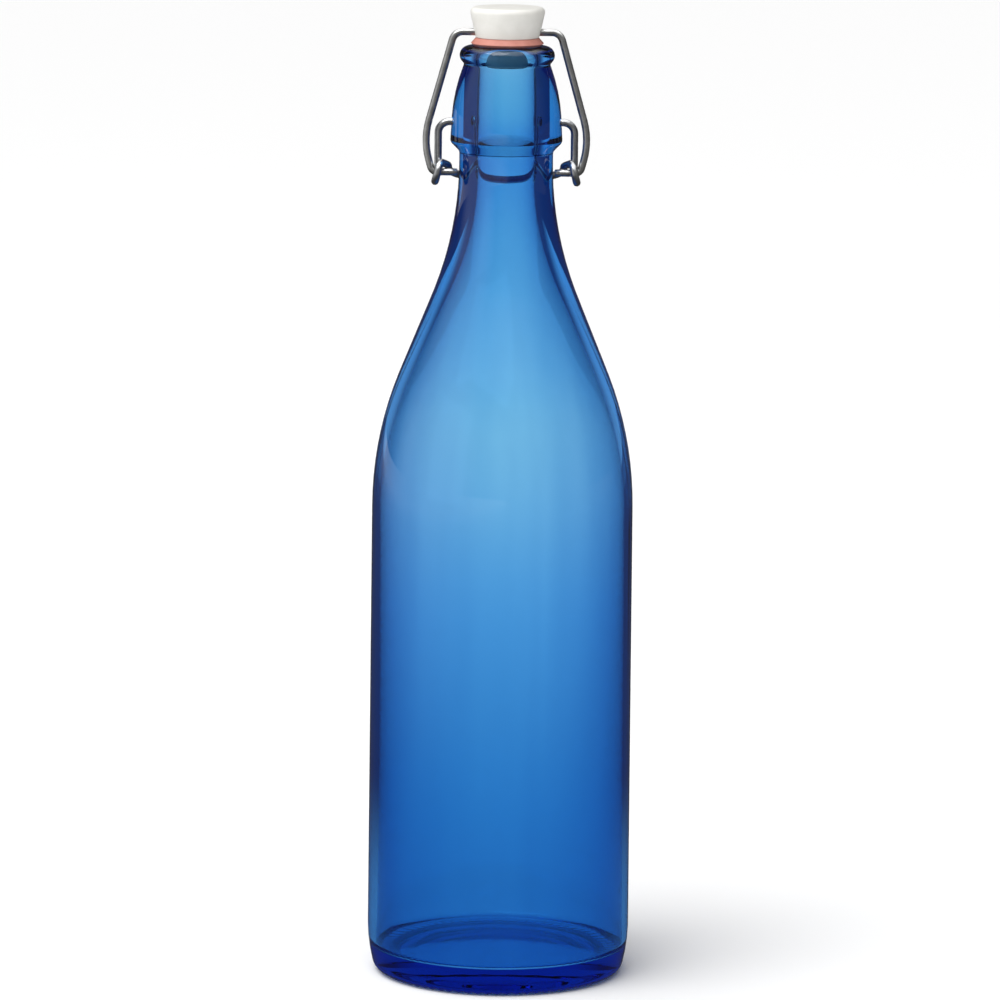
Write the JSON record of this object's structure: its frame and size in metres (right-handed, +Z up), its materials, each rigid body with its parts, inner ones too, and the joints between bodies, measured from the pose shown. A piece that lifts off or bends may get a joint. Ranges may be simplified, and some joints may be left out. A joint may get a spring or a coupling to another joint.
{
  "type": "swing top bottle",
  "caption": "Tall round blue glass bottle with a white stopper and coral gasket, held shut by a toggle closure of two bent steel wires.",
  "frame": {"origin": "centre of the base, on the surface that the bottle stands on", "axes": "+Z up along the bottle's axis; X along the closure's hinge line; +Y towards the back, where the lever's thumb bow lies"},
  "size_m": [0.086, 0.086, 0.3189],
  "materials": {
    "blue_glass": "clear cobalt blue glass, smooth and glossy",
    "white_plastic": "warm white moulded plastic, satin",
    "coral_rubber": "coral food-grade rubber, matte",
    "bail_steel": "drawn steel wire, zinc grey, satin",
    "lever_steel": "drawn steel wire, zinc grey, satin"
  },
  "bodies": {
    "bottle": {"glass_bottle": "blue_glass"},
    "lever": {"lever_wire": "lever_steel"},
    "bail": {"bail_wire": "bail_steel"},
    "stopper": {"stopper": "white_plastic", "stopper_gasket": "coral_rubber"}
  },
  "joints": [
    {"name": "lever_hinge", "type": "hinge", "parent": "bottle", "child": "lever", "pos_m": [0, 0, 0.2812], "axis": [1, 0, 0], "range_deg": [0, 100]},
    {"name": "bail_hinge", "type": "hinge", "parent": "lever", "child": "bail", "pos_m": [0, -0.00307, 0.2651], "axis": [1, 0, 0], "range_deg": [-66, 0]},
    {"name": "stopper_hinge", "type": "hinge", "parent": "bail", "child": "stopper", "pos_m": [0, 0, 0.3104], "axis": [1, 0, 0], "range_deg": [-33, 0]}
  ],
  "couplings": [
    {"joint": "bail_hinge", "follows": "lever_hinge", "ratio": -0.655},
    {"joint": "stopper_hinge", "follows": "lever_hinge", "ratio": -0.32}
  ]
}
